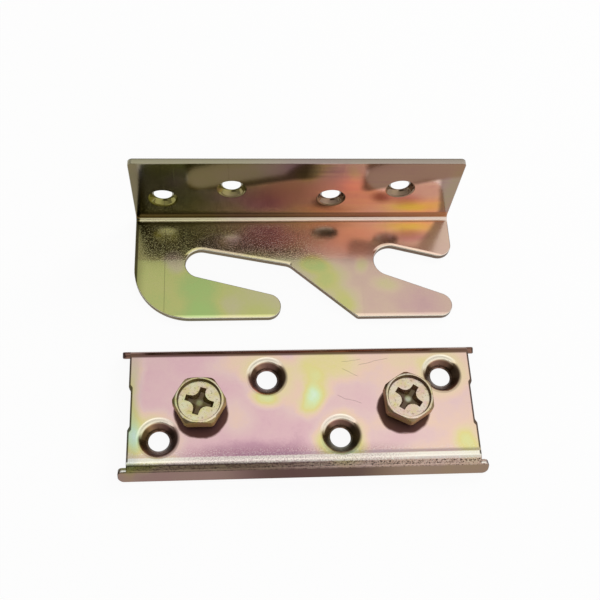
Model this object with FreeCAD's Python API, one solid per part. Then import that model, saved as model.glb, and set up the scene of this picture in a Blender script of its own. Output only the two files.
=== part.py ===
import FreeCAD
import Part
import math
import os

# Bed rail fastener: a hook plate for the rail and a receiver plate with two bolts for the post.
# All sizes in millimetres. +X runs along the plates, +Y from receiver to hook flange, +Z up.

# Sheet metal
sheet = 2.0
edge_break = 0.25

# Bolts, shared by both halves
bolt_pitch = 59.5
thread_diameter = 8.0
head_across_flats = 13.5
head_corner_circle = 15.1
head_height = 3.9
head_chamfer_circle = 13.0
head_chamfer_angle = 40.0
dish_diameter = 12.5
dish_depth = 1.2
dish_wall = 0.25
shank_length = 8.0
shank_tip_chamfer = 0.8
cross_span = 8.2
cross_wing = 1.8
cross_depth = 2.5
cross_taper = 26.0
cross_inner_radius = 2.2
cross_foot_share = 0.5
left_head_turn = 0.0
right_head_turn = -27.0
left_cross_turn = -17.0
right_cross_turn = 55.0

# Hook plate
hook_length = 100.6
hook_bend = 1.4
hook_reach = 35.8
flange_height = 32.0
flange_corner = 1.5
heel_corner = 17.5
left_slot_clearance = 0.85
right_slot_clearance = 1.3
left_slot_setback = 16.65
right_slot_setback = 16.05
left_slot_top_slope = 11.5
left_slot_bottom_slope = 15.5
right_slot_top_slope = 14.8
right_slot_bottom_slope = 22.0
left_tip_radius = 4.15
right_tip_radius = 4.0
notch_slope = 42.0
notch_foot = 18.4
notch_top_radius = 4.0
notch_foot_radius = 1.5
lobe_corner = 4.3
flange_hole_diameter = 5.7
flange_sink_diameter = 9.2
flange_hole_pitch = 52.2
low_row_start = -41.1
high_row_start = -19.9
low_row_height = 13.4
high_row_height = 18.4

# Receiver plate
web_length = 100.0
web_flat_width = 30.8
fold_bend = 1.0
fold_length = 105.0
fold_flat = 4.2
fold_lean = 24.0
fold_corner = 1.8
fold_top_corner = 1.2
end_notch_width = 13.0
end_notch_depth = 0.6
end_notch_slant = 1.2
web_hole_diameter = 6.0
web_sink_diameter = 11.2
web_sink_depth = 2.6
sink_lip = 0.65
dimple_wall = 1.5
dimple_depth = 3.5
outer_hole_x = 41.3
inner_hole_x = 10.3
hole_row_offset = 9.0
collar_wall = 1.7
collar_height = 2.2
thread_clearance = 0.05

# How the halves lie and how the bolts stand
hook_slack = 0.3
row_width = 87.55

# Derived places
fold_outside = fold_bend + sheet
lean = math.radians(fold_lean)
fold_centre_height = fold_flat * math.cos(lean) - (fold_bend + edge_break) * math.sin(lean)
fold_spread = fold_outside * math.cos(lean) + (fold_flat - edge_break) * math.sin(lean)
fold_half_width = web_flat_width / 2 + fold_spread
web_top = fold_centre_height + fold_outside
receiver_y = -row_width / 2 + fold_half_width
hook_face_y = row_width / 2 - sheet
head_seat = web_top + sheet + hook_slack
left_slot_radius = thread_diameter / 2 + left_slot_clearance
right_slot_radius = thread_diameter / 2 + right_slot_clearance
right_slot_x = bolt_pitch / 2 + right_slot_clearance - left_slot_clearance
bore_radius = thread_diameter / 2 + thread_clearance


def vector(x, y, z):
    return FreeCAD.Vector(x, y, z)


def along(angle):
    """Unit direction in a flat outline, angle in degrees."""
    turn = math.radians(angle)
    return math.cos(turn), math.sin(turn)


def meet(point_a, slope_a, point_b, slope_b):
    """Where two lines, each a point and a slope in degrees, cross."""
    ax, ay = along(slope_a)
    bx, by = along(slope_b)
    gap_x = point_b[0] - point_a[0]
    gap_y = point_b[1] - point_a[1]
    reach = (gap_x * by - gap_y * bx) / (ax * by - ay * bx)
    return point_a[0] + reach * ax, point_a[1] + reach * ay


def rounded_outline(corners):
    """Face in XY from corners (x, y, radius), each corner with its own tangent arc."""
    starts = []
    middles = []
    ends = []
    count = len(corners)
    for index in range(count):
        x, y, radius = corners[index]
        corner = vector(x, y, 0)
        before = vector(corners[index - 1][0], corners[index - 1][1], 0) - corner
        after = vector(corners[(index + 1) % count][0], corners[(index + 1) % count][1], 0) - corner
        before.normalize()
        after.normalize()
        half = before.getAngle(after) / 2
        inward = (before + after).normalize()
        setback = radius / math.tan(half)
        starts.append(corner + before * setback)
        ends.append(corner + after * setback)
        middles.append(corner + inward * (radius / math.sin(half) - radius))
    edges = []
    for index in range(count):
        if corners[index][2] > 0:
            edges.append(Part.Arc(starts[index], middles[index], ends[index]).toShape())
        start = ends[index]
        finish = starts[(index + 1) % count]
        edges.append(Part.makeLine(start, finish))
    return Part.Face(Part.Wire(edges))


def spun(points, centre):
    """Solid of revolution about Z from (radius, height) points, set at centre."""
    corners = [vector(radius, 0, height) for radius, height in points]
    corners.append(corners[0])
    profile = Part.Face(Part.makePolygon(corners))
    solid = profile.revolve(vector(0, 0, 0), vector(0, 0, 1), 360)
    solid.translate(centre)
    return solid


def slot_lines(x, y, radius, top_slope, bottom_slope):
    """Points on the top and bottom edge of a slot, where they leave its round end."""
    top_x, top_y = along(top_slope)
    low_x, low_y = along(bottom_slope)
    top = (x + radius * top_y, y - radius * top_x)
    bottom = (x - radius * low_y, y + radius * low_x)
    return top, bottom


def left_slot_lines():
    slopes = (left_slot_top_slope, left_slot_bottom_slope)
    return slot_lines(-bolt_pitch / 2, left_slot_setback, left_slot_radius, *slopes)


def right_slot_lines():
    slopes = (right_slot_top_slope, right_slot_bottom_slope)
    return slot_lines(right_slot_x, right_slot_setback, right_slot_radius, *slopes)


def hook_blank():
    """Flat outline of the hook plate, x along it and y down from the flange face."""
    half = hook_length / 2
    left_top, left_bottom = left_slot_lines()
    right_top, right_bottom = right_slot_lines()
    foot = (notch_foot, hook_reach)
    floor = (0, hook_reach)
    left_end = meet(left_top, left_slot_top_slope, left_bottom, left_slot_bottom_slope)
    right_end = meet(right_top, right_slot_top_slope, right_bottom, right_slot_bottom_slope)
    left_tip = meet(left_bottom, left_slot_bottom_slope, floor, 0)
    right_tip = meet(right_bottom, right_slot_bottom_slope, floor, 0)
    notch_top = meet(left_top, left_slot_top_slope, foot, notch_slope)
    lobe = meet(right_top, right_slot_top_slope, (half, 0), 90)
    corners = [
        (-half, hook_bend, 0),
        (-half, hook_reach, heel_corner),
        (left_tip[0], left_tip[1], left_tip_radius),
        (left_end[0], left_end[1], left_slot_radius),
        (notch_top[0], notch_top[1], notch_top_radius),
        (foot[0], foot[1], notch_foot_radius),
        (right_tip[0], right_tip[1], right_tip_radius),
        (right_end[0], right_end[1], right_slot_radius),
        (lobe[0], lobe[1], lobe_corner),
        (half, hook_bend, 0),
    ]
    return rounded_outline(corners)


def bend(inside, centre_y, centre_z, first, last, length):
    """Bent strip of sheet about an axis along X, between two angles from +Y towards +Z."""
    rims = []
    edges = []
    for radius in (inside, inside + sheet):
        points = []
        for angle in (first, (first + last) / 2, last):
            across, up = along(angle)
            points.append(vector(-length / 2, centre_y + radius * across, centre_z + radius * up))
        edges.append(Part.Arc(points[0], points[1], points[2]).toShape())
        rims.append(points)
    edges.append(Part.makeLine(rims[0][0], rims[1][0]))
    edges.append(Part.makeLine(rims[0][2], rims[1][2]))
    section = Part.Face(Part.Wire(Part.__sortEdges__(edges)))
    return section.extrude(vector(length, 0, 0))


def upright_strip(length, low, high, low_radius, high_radius):
    """Upright strip of sheet with rounded corners, its inner face at y = 0."""
    half = length / 2
    corners = [
        (-half, low, low_radius),
        (half, low, low_radius),
        (half, high, high_radius),
        (-half, high, high_radius),
    ]
    face = rounded_outline(corners)
    face.rotate(vector(0, 0, 0), vector(1, 0, 0), 90)
    return face.extrude(vector(0, sheet, 0))


def flange_hole_places():
    """Two staggered rows of screw holes as (x, height) on the flange."""
    places = []
    for start, height in ((low_row_start, low_row_height), (high_row_start, high_row_height)):
        places.append((start, height))
        places.append((start + flange_hole_pitch, height))
    return places


def flange_hole(x, height):
    """Countersunk screw hole through the flange, sunk from its inner face."""
    wide = flange_sink_diameter / 2
    narrow = flange_hole_diameter / 2
    points = [(0, 1), (wide + 1, 1), (narrow, narrow - wide), (narrow, -2 * sheet), (0, -2 * sheet)]
    tool = spun(points, vector(0, 0, 0))
    tool.rotate(vector(0, 0, 0), vector(1, 0, 0), 90)
    tool.translate(vector(x, 0, height))
    return tool


def facing(face, point):
    """Outward direction of a face at a point on it."""
    u, v = face.Surface.parameter(point)
    return face.normalAt(u, v)


def sharp_edges(solid):
    """Edges where two faces meet at a corner, without the smooth seams."""
    found = []
    for edge in solid.Edges:
        sides = solid.ancestorsOfType(edge, Part.Face)
        if len(sides) == 2:
            middle = edge.valueAt((edge.FirstParameter + edge.LastParameter) / 2)
            if facing(sides[0], middle).getAngle(facing(sides[1], middle)) > math.radians(30):
                found.append(edge)
    return found


def joined(pieces):
    """One solid from sheet pieces that share faces."""
    return pieces[0].fuse(pieces[1:]).removeSplitter().Solids[0]


def hook_plate():
    """Rail half: a plate with two slanted hooks and a standing flange."""
    plate = hook_blank()
    plate.rotate(vector(0, 0, 0), vector(1, 0, 0), 180)
    plate = plate.extrude(vector(0, 0, sheet))
    foot = sheet + hook_bend
    corner = bend(hook_bend, -hook_bend, foot, -90, 0, hook_length)
    flange = upright_strip(hook_length, foot, flange_height, 0, flange_corner)
    solid = joined([plate, corner, flange])
    solid = solid.makeChamfer(edge_break, sharp_edges(solid))
    for x, height in flange_hole_places():
        solid = solid.cut(flange_hole(x, height))
    solid = solid.Solids[0]
    solid.translate(vector(0, hook_face_y, 0))
    return solid


def web():
    """Flat of the receiver with a shallow notch in each end."""
    length = web_length / 2
    width = web_flat_width / 2
    mouth = end_notch_width / 2
    floor = mouth - end_notch_slant
    depth = length - end_notch_depth
    right = [(length, -width), (length, -mouth), (depth, -floor)]
    right += [(depth, floor), (length, mouth), (length, width)]
    left = [(-x, -y) for x, y in right]
    corners = [(x, y, 0) for x, y in right + left]
    face = rounded_outline(corners)
    face.translate(vector(0, 0, web_top - sheet))
    return face.extrude(vector(0, 0, sheet))


def fold():
    """One long edge of the receiver: the bend and the leaning strip below it."""
    edge = web_flat_width / 2
    curve = bend(fold_bend, edge, fold_centre_height, 90, fold_lean, web_length)
    strip = upright_strip(fold_length, -fold_flat, 0, fold_corner, fold_top_corner)
    free_edges = [rim for rim in sharp_edges(strip) if rim.CenterOfMass.z < -edge_break]
    strip = strip.makeChamfer(edge_break, free_edges)
    strip.translate(vector(0, fold_bend, 0))
    strip.rotate(vector(0, 0, 0), vector(1, 0, 0), fold_lean)
    strip.translate(vector(0, edge, fold_centre_height))
    return [curve, strip]


def mirrored(solids):
    """The same solids on the other long edge."""
    return [solid.mirror(vector(0, 0, 0), vector(0, 1, 0)) for solid in solids]


def web_hole_places():
    """Staggered screw holes, the same after half a turn."""
    places = []
    for x, side in ((-outer_hole_x, -1), (inner_hole_x, -1), (-inner_hole_x, 1), (outer_hole_x, 1)):
        places.append(vector(x, side * hole_row_offset, web_top))
    return places


def dimple(place):
    """Metal pressed out behind the web around a screw hole."""
    narrow = web_hole_diameter / 2 + dimple_wall
    wide = narrow + dimple_depth - sheet
    points = [(0, -sheet / 2), (wide, -sheet / 2), (wide, -sheet)]
    points += [(narrow, -dimple_depth), (0, -dimple_depth)]
    return spun(points, place)


def sink(place):
    """Cone and hole for a countersunk wood screw, with an eased lip."""
    wide = web_sink_diameter / 2
    narrow = web_hole_diameter / 2
    slope = math.atan2(web_sink_depth, wide - narrow)
    lip_foot = (wide - sink_lip * math.cos(slope), -sink_lip * math.sin(slope))
    foot = -2 * dimple_depth
    points = [(0, sheet), (wide + sink_lip, sheet), (wide + sink_lip, 0), lip_foot]
    points += [(narrow, -web_sink_depth), (narrow, foot), (0, foot)]
    return spun(points, place)


def bolt_places():
    return [vector(-bolt_pitch / 2, 0, web_top), vector(bolt_pitch / 2, 0, web_top)]


def collar(place):
    """Burred collar behind the web that carries the thread."""
    outer = bore_radius + collar_wall
    foot = -sheet - collar_height
    return spun([(0, -sheet / 2), (outer, -sheet / 2), (outer, foot), (0, foot)], place)


def bore(place):
    """Threaded hole, kept plain."""
    foot = -2 * (sheet + collar_height)
    return spun([(0, 1), (bore_radius, 1), (bore_radius, foot), (0, foot)], place)


def receiver_plate():
    """Post half: a web with both long edges folded back, screw holes and two tapped collars."""
    pieces = [web()] + fold() + mirrored(fold())
    pieces += [dimple(place) for place in web_hole_places()]
    pieces += [collar(place) for place in bolt_places()]
    solid = joined(pieces)
    tools = [sink(place) for place in web_hole_places()] + [bore(place) for place in bolt_places()]
    solid = solid.cut(tools).Solids[0]
    solid.translate(vector(0, receiver_y, 0))
    return solid


def hexagon():
    """Hexagon face across the flats of the head, corners on the X axis."""
    corner = head_across_flats / 2 / math.cos(math.radians(30))
    points = []
    for index in range(7):
        x, y = along(60 * index)
        points.append(vector(corner * x, corner * y, 0))
    return Part.Face(Part.makePolygon(points))


def cross_corners(span, wing, radius, height):
    """Corners of the cross recess at one height, each inner corner rounded in short flats."""
    arm = span / 2
    side = wing / 2
    quarter = [(arm, -side), (arm, side)]
    for turn in (270, 247.5, 225, 202.5, 180):
        cosine, sine = along(turn)
        quarter.append((side + radius + radius * cosine, side + radius + radius * sine))
    corners = []
    for index in range(4):
        cosine, sine = along(90 * index)
        for x, y in quarter:
            corners.append(vector(x * cosine - y * sine, x * sine + y * cosine, height))
    return corners


def flat_face(corners):
    """Plane face with straight edges through the corners."""
    return Part.Face(Part.makePolygon(corners + corners[:1]))


def cross_recess():
    """Tapered cross for a driver, open at the dished face."""
    face = head_height - dish_depth
    taper = 2 * cross_depth * math.tan(math.radians(cross_taper))
    foot_span = cross_span - taper
    foot_wing = cross_wing * cross_foot_share
    top = cross_corners(cross_span, cross_wing, cross_inner_radius, face)
    foot = cross_corners(foot_span, foot_wing, cross_inner_radius / 4, face - cross_depth)
    faces = [flat_face(top), flat_face(foot)]
    for index in range(len(top)):
        faces.append(flat_face([top[index - 1], top[index], foot[index], foot[index - 1]]))
    return Part.Solid(Part.Shell(faces))


def bolt_head():
    """Hexagon head with a chamfered rim and a dished top, under face at z = 0."""
    corner = head_corner_circle / 2
    rim = head_chamfer_circle / 2
    drop = (corner - rim) * math.tan(math.radians(head_chamfer_angle))
    envelope = [(0, 0), (corner, 0), (corner, head_height - drop), (rim, head_height), (0, head_height)]
    head = hexagon().extrude(vector(0, 0, head_height)).common(spun(envelope, vector(0, 0, 0)))
    dish = dish_diameter / 2
    bottom = head_height - dish_depth
    basin = [(0, bottom), (dish - dish_wall, bottom), (dish, head_height)]
    basin += [(dish, head_height + 1), (0, head_height + 1)]
    return head.cut(spun(basin, vector(0, 0, 0)))


def bolt(head_turn, cross_turn, place):
    """Hexagon bolt with an indented head and a cross recess, under face of the head at place."""
    head = bolt_head()
    head.rotate(vector(0, 0, 0), vector(0, 0, 1), head_turn)
    recess = cross_recess()
    recess.rotate(vector(0, 0, 0), vector(0, 0, 1), cross_turn)
    head = head.cut(recess)
    radius = thread_diameter / 2
    tip = radius - shank_tip_chamfer
    stem = [(0, 1), (radius, 1), (radius, shank_tip_chamfer - shank_length)]
    stem += [(tip, -shank_length), (0, -shank_length)]
    solid = joined([head, spun(stem, vector(0, 0, 0))])
    solid.translate(place)
    return solid


def bolts():
    left, right = bolt_places()
    lift = vector(0, receiver_y, head_seat - web_top)
    left_bolt = bolt(left_head_turn, left_cross_turn, left + lift)
    right_bolt = bolt(right_head_turn, right_cross_turn, right + lift)
    return left_bolt, right_bolt


def main():
    os.makedirs("parts", exist_ok=True)
    left, right = bolts()
    nodes = {
        "hook_plate": hook_plate(),
        "receiver_plate": receiver_plate(),
        "left_bolt": left,
        "right_bolt": right,
    }
    for name, shape in nodes.items():
        shape.exportStep("parts/" + name + ".step")


main()
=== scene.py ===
import math

import bmesh
import bpy
from bpy.props import FloatProperty, FloatVectorProperty, IntProperty, PointerProperty
from mathutils import Matrix, Vector


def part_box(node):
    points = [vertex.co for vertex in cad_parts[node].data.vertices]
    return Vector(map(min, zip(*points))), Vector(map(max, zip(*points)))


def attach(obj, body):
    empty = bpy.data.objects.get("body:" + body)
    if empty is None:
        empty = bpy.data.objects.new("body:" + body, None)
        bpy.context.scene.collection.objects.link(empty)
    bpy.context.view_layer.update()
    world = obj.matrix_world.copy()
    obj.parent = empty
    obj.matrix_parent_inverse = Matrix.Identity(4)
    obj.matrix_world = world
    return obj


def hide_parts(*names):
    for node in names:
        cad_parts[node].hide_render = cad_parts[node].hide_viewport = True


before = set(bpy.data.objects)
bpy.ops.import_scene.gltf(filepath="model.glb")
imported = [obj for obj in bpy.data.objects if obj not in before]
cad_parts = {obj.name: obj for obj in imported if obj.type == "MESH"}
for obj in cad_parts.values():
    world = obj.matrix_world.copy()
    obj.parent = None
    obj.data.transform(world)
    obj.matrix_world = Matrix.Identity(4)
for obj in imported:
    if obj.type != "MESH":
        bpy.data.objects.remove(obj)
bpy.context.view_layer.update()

bl_info = {
    "name": "Bed rail fastener",
    "version": (1, 0, 0),
    "blender": (4, 5, 0),
    "location": "3D View > Sidebar > Bed rail",
    "description": "Dresses the two plates and the bolts of a bed rail fastener in yellow zinc",
    "category": "Object",
}

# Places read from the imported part, in metres
mm = 0.001
hook_low, hook_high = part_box("hook_plate")
receiver_low, receiver_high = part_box("receiver_plate")
head_low, head_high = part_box("left_bolt")
receiver_y = (receiver_low.y + receiver_high.y) / 2
bolt_offset = -(head_low.x + head_high.x) / 2

# Sizes of the pieces
sheet = 2.0 * mm
hook_face_y = hook_high.y - sheet
head_height = 3.9 * mm
head_seat = head_high.z - head_height
dish_depth = 1.2 * mm
dish_floor = head_high.z - dish_depth

# Slots of the hook plate: middle of the closed end, radius, slope in degrees and reach, in millimetres
left_slot = ((-29.75, 27.125), 4.85, 11.5, 27.5)
right_slot = ((30.2, 27.725), 5.3, 14.8, 17.0)

# Screw holes in millimetres, on the flange from the ground up and on the web from its middle
flange_holes = ((-41.1, 13.4), (11.1, 13.4), (-19.9, 18.4), (32.3, 18.4))
web_holes = ((-41.3, -9.0), (10.3, -9.0), (-10.3, 9.0), (41.3, 9.0))

# Shadows of the bolt heads on the web
shadow_centres = ((-29.35, -1.6), (28.95, -1.8))
shadow_reach = 7.7 * mm

# Sides of the screw holes on the web that get painted highlights and shade, and how far the tone of a
# cone reaches there, in millimetres
lip_side = (-0.25, 0.97, 0)
left_side = (-0.9, -0.1, 0)
far_side = (0.3, 0.95, 0)
near_side = (0.2, -0.98, 0)
cone_reach = 5.3
far_cone_reach = 4.7

# Limits for joining and smoothing the meshes
seam = 0.001 * mm
flat_angle = math.radians(0.2)
smooth_angle = math.radians(48)

# Relief in steps of the bump: lips of slots, lips of screw holes, and the plate's slope per millimetre
bump_step = 0.012 * mm
lip_drop = 18.0
roll_rise = 45.0
plate_dip = 1.4

# Noises of the plating, in features per metre
cloud_scale = 120.0
grain_scale = 1500.0
wave_scale = 45.0
wander_scale = 55.0
line_scale = 900.0
hook_grit_scale = 2900.0
web_grit_scale = 2700.0
bolt_cloud_scale = 260.0
bolt_wear_scale = 420.0
bolt_mottle_scale = 1300.0
bolt_pit_scale = 1500.0
bolt_grain_scale = 2200.0

# Film colours in the order in which the plating shows them as the film gets thicker
mauve = (0.58, 0.34, 0.42, 1)
pink = (0.77, 0.49, 0.50, 1)
peach = (0.85, 0.62, 0.50, 1)
straw = (0.82, 0.67, 0.44, 1)
yellow = (0.78, 0.70, 0.30, 1)
lime = (0.62, 0.69, 0.29, 1)
green = (0.55, 0.74, 0.29, 1)
aqua = (0.70, 0.86, 0.66, 1)
film_stops = (
    (0.00, mauve),
    (0.15, pink),
    (0.35, peach),
    (0.50, straw),
    (0.65, yellow),
    (0.78, lime),
    (0.90, green),
    (1.00, aqua),
)

# The same for the receiver and the bolts
web_pink = (0.76, 0.50, 0.54, 1)
web_rose = (0.80, 0.58, 0.56, 1)
web_lime = (0.73, 0.79, 0.40, 1)
web_green = (0.69, 0.86, 0.56, 1)
web_aqua = (0.74, 0.90, 0.74, 1)
web_stops = (
    (0.00, mauve),
    (0.15, web_pink),
    (0.28, web_rose),
    (0.38, peach),
    (0.50, straw),
    (0.65, yellow),
    (0.80, web_lime),
    (0.92, web_green),
    (1.00, web_aqua),
)

# Tones of all pieces
unshaded = (1, 1, 1, 1)
# Near-black tone for specks, scratches and the darker ends
near_black = (0.045, 0.036, 0.030, 1)
zinc_pale = (0.92, 0.90, 0.80, 1)

# Tones of the hook plate's lying part
# Painted shade: darker to the left, with another tone nearer the hooks
plate_dark = (0.62, 0.63, 0.60, 1)
plate_pale = (0.92, 0.94, 0.86, 1)
plate_low = (0.66, 0.76, 0.67, 1)
plate_low_right = (0.80, 0.84, 0.78, 1)
# Painted light that lifts a dark reflection beside the right slot
reflection_lift_warm = (1.12, 0.90, 0.76, 1)
# Painted highlight on the slot lips; painted shade on the narrow slopes of the edges
edge_pale = (0.96, 0.95, 0.86, 1)
edge_dark = (0.16, 0.14, 0.11, 1)
shear_brown = (0.20, 0.165, 0.13, 1)
# Painted shade over the mirror images of the flange's holes, and a painted tint on the mirror image
# beside them
hole_image_olive = (0.15, 0.135, 0.10, 1)
hole_image_copper = (0.38, 0.27, 0.22, 1)
mirror_tint_copper = (0.70, 0.50, 0.58, 1)
plate_mirror_shades = (
    ((10.0, 38.4), (5.5, 3.2), hole_image_olive),
    ((29.4, 36.0), (5.5, 3.2), hole_image_copper),
    ((37.0, 36.6), (9.0, 3.6), mirror_tint_copper),
)

# Tones of its flange
# Painted shade on the flange's foot, over the mirror image of the bright bend
foot_dark = (0.17, 0.13, 0.10, 1)
foot_pale = (0.50, 0.33, 0.20, 1)
# Painted shade at the flange's ends, and painted reflections of the two slots under the rim
end_shade_brown = (0.20, 0.18, 0.18, 1)
end_shade_pale = (0.32, 0.29, 0.275, 1)
slot_image_brown = (0.19, 0.16, 0.145, 1)
slot_image_pale = (0.32, 0.25, 0.19, 1)
# Painted shade in the flange's countersinks
cone_olive = (0.34, 0.34, 0.26, 1)
rim_grey = (0.52, 0.52, 0.50, 1)
# Painted shade along the back of the rim
rim_dark = (0.14, 0.13, 0.11, 1)
# Tints over the flange's face, with painted shade to the left and painted light to the right
flange_slate = (0.36, 0.37, 0.85, 1)
flange_rust = (0.74, 0.54, 0.50, 1)
flange_amber = (1.18, 0.84, 0.68, 1)
flange_gold = (1.22, 0.95, 0.52, 1)
flange_copper = (0.90, 0.62, 0.44, 1)
flange_tones = (
    ((-48, 60), (46, 30), flange_slate),
    ((-2, 57), (22, 20), flange_rust),
    ((20, 57), (20, 18), flange_amber),
    ((40, 50), (16, 8), flange_gold),
    ((10, 48.5), (15, 5), flange_copper),
)

# Tones of the receiver
end_blue = (0.80, 0.84, 0.92, 1)
fold_side_plum = (0.42, 0.30, 0.36, 1)
# Painted shade on the near bend, darker to the left
bend_dark = (0.26, 0.27, 0.18, 1)
bend_pale = (0.66, 0.64, 0.62, 1)
# Dims the painted highlight on the crown to the right, then painted shade for the trough before it
crown_grey = (0.74, 0.77, 0.82, 1)
trough_grey = (0.56, 0.56, 0.64, 1)
# Painted shade on the fold's face, darker in the middle, and along the far bend
fold_pale = (0.34, 0.32, 0.265, 1)
fold_dark = (0.14, 0.115, 0.095, 1)
far_brown = (0.26, 0.20, 0.17, 1)
shadow_brown = (0.20, 0.135, 0.12, 1)
# Painted shade in the cones of the screw holes, lighter on the left side and darker on the far and near
# sides
cone_maroon = (0.72, 0.54, 0.52, 1)
cone_rose = (0.98, 0.66, 0.62, 1)
cone_umber = (0.26, 0.18, 0.20, 1)
cone_near = (0.16, 0.12, 0.12, 1)

# Tones of the bolts
head_pale = (0.92, 0.92, 0.92, 1)
pit_brown = (0.42, 0.39, 0.34, 1)
# Painted shade on the chamfer, the flanks, under the head and in the recess, and a painted glint in the
# recess
chamfer_brown = (0.34, 0.29, 0.22, 1)
flank_dark = (0.60, 0.50, 0.38, 1)
flank_pale = (0.62, 0.53, 0.41, 1)
underside = (0.30, 0.22, 0.22, 1)
recess_brown = (0.15, 0.125, 0.11, 1)
recess_wall = (0.42, 0.36, 0.32, 1)
recess_glint = (0.62, 0.74, 0.74, 1)

# Room, lamp and camera
room_white = (1.0, 0.99, 0.97)
figure_dark = (0.10, 0.09, 0.08, 1)
lamp_place = (0.5, 0.5, 0.5)
lamp_target = (0, 0, 0)
lamp_size = 0.3
floor_reach = 3.0
floor_drop = -0.05 * mm
view_right = Vector((0.99694, -0.04452, 0.06420))
view_down = Vector((-0.01098, -0.89346, -0.44901))
sensor_width = 36.0


class Wire:
    """One output of a node. Arithmetic on it adds Math nodes."""

    def __init__(self, board, socket):
        self.board = board
        self.socket = socket

    def combine(self, operation, first, second):
        return self.board.node("ShaderNodeMath", {"operation": operation}, {0: first, 1: second})

    def __add__(self, other):
        return self.combine("ADD", self, other)

    def __radd__(self, other):
        return self.combine("ADD", other, self)

    def __sub__(self, other):
        return self.combine("SUBTRACT", self, other)

    def __rsub__(self, other):
        return self.combine("SUBTRACT", other, self)

    def __mul__(self, other):
        return self.combine("MULTIPLY", self, other)

    def __rmul__(self, other):
        return self.combine("MULTIPLY", other, self)

    def __truediv__(self, other):
        return self.combine("DIVIDE", self, other)

    def __abs__(self):
        return self.board.node("ShaderNodeMath", {"operation": "ABSOLUTE"}, {0: self})

    def other(self, name):
        """Another output of the same node."""
        return Wire(self.board, self.socket.node.outputs[name])

    def most(self, other):
        return self.combine("MAXIMUM", self, other)

    def least(self, other):
        return self.combine("MINIMUM", self, other)


class Board:
    """A node tree that is filled one node at a time."""

    def __init__(self, tree):
        self.tree = tree
        tree.nodes.clear()

    def node(self, kind, settings=None, inputs=None, output=0):
        made = self.tree.nodes.new(kind)
        for name, value in (settings or {}).items():
            if name == "stops":
                self.set_stops(made.color_ramp, value)
            else:
                setattr(made, name, value)
        for name, value in (inputs or {}).items():
            self.feed(made.inputs[name], value)
        if not made.outputs:
            return made
        return Wire(self, made.outputs[output])

    def feed(self, socket, value):
        if isinstance(value, Wire):
            self.tree.links.new(value.socket, socket)
        else:
            socket.default_value = value

    def set_stops(self, ramp, stops):
        while len(ramp.elements) < len(stops):
            ramp.elements.new(1.0)
        for element, (place, colour) in zip(ramp.elements, stops):
            element.position = place
            element.color = colour

    def vector(self, operation, first, second=(0, 0, 0)):
        settings = {"operation": operation}
        return self.node("ShaderNodeVectorMath", settings, {0: first, 1: second})

    def length(self, first):
        return self.node("ShaderNodeVectorMath", {"operation": "LENGTH"}, {0: first}, "Value")

    def dot(self, first, second):
        settings = {"operation": "DOT_PRODUCT"}
        return self.node("ShaderNodeVectorMath", settings, {0: first, 1: second}, "Value")

    def parts(self, vector):
        x = self.node("ShaderNodeSeparateXYZ", None, {0: vector})
        return [x, x.other("Y"), x.other("Z")]

    def joined(self, x, y, z):
        return self.node("ShaderNodeCombineXYZ", None, {0: x, 1: y, 2: z})

    def ease(self, value, start, stop, low=0.0, high=1.0):
        """Smooth step of a value from start to stop."""
        inputs = {"Value": value, "From Min": start, "From Max": stop, "To Min": low, "To Max": high}
        return self.node("ShaderNodeMapRange", {"interpolation_type": "SMOOTHSTEP"}, inputs)

    def noise(self, point, scale, detail=2.0, roughness=0.5):
        inputs = {"Vector": point, "Scale": scale, "Detail": detail, "Roughness": roughness}
        return self.node("ShaderNodeTexNoise", None, inputs)

    def mix(self, factor, first, second, blend="MIX"):
        settings = {"data_type": "RGBA", "blend_type": blend}
        return self.node("ShaderNodeMix", settings, {0: factor, 6: first, 7: second}, 2)


# Looks of the plating


def surface(board):
    """Where a point lies on its piece, and which way the surface faces there."""
    point = board.node("ShaderNodeTexCoord", None, None, "Object")
    return point, point.other("Normal")


def strongest(wires):
    """The greatest of several values."""
    found, *others = wires
    for wire in others:
        found = found.most(wire)
    return found


def painted(board, shade, layers):
    """A shade with tones laid over it one by one, each with the mask of its place."""
    for mask, tone in layers:
        shade = board.mix(mask, shade, tone)
    return shade


def soft_oval(board, point, centre, reach):
    """1 in the middle of an oval on the sheet and 0 outside it, sizes in millimetres."""
    offset = board.vector("SUBTRACT", point, (centre[0] * mm, centre[1] * mm, 0))
    shrunk = board.vector("DIVIDE", offset, (reach[0] * mm, reach[1] * mm, 1))
    return board.ease(board.length(shrunk), 1.0, 0.15)


def soft_corner(board, from_side, from_below):
    """1 past two borders that meet in a round corner, fading outside them."""
    outside = board.length(board.joined(from_side.least(0.0), from_below.least(0.0), 0.0))
    return board.ease(outside, 5.0 * mm, 2.5 * mm)


def with_patches(board, film, place, patches):
    """The film made thicker or thinner over soft ovals, each a centre, a reach and a change."""
    for centre, reach, change in patches:
        film = film + soft_oval(board, place, centre, reach) * change
    return film


def wandering(board, point, scale, reach):
    """The same place on the sheet, shifted by a slow noise so that outlines wander."""
    settings = {"noise_dimensions": "3D"}
    inputs = {"Vector": point, "Scale": scale, "Detail": 3.0}
    colour = board.node("ShaderNodeTexNoise", settings, inputs, 1)
    shift = board.vector("SUBTRACT", colour, (0.5, 0.5, 0.5))
    shift = board.vector("MULTIPLY", shift, (reach, reach, 0))
    return board.vector("ADD", point, shift)


def scratch_lines(board, point, stretch, scale, share):
    """Thin broken lines along one direction, 1 on a line."""
    long_way = board.vector("MULTIPLY", point, stretch)
    lines = board.noise(long_way, scale, 1.0)
    return board.ease(lines, 1.0 - share, 1.02 - share)


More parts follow.
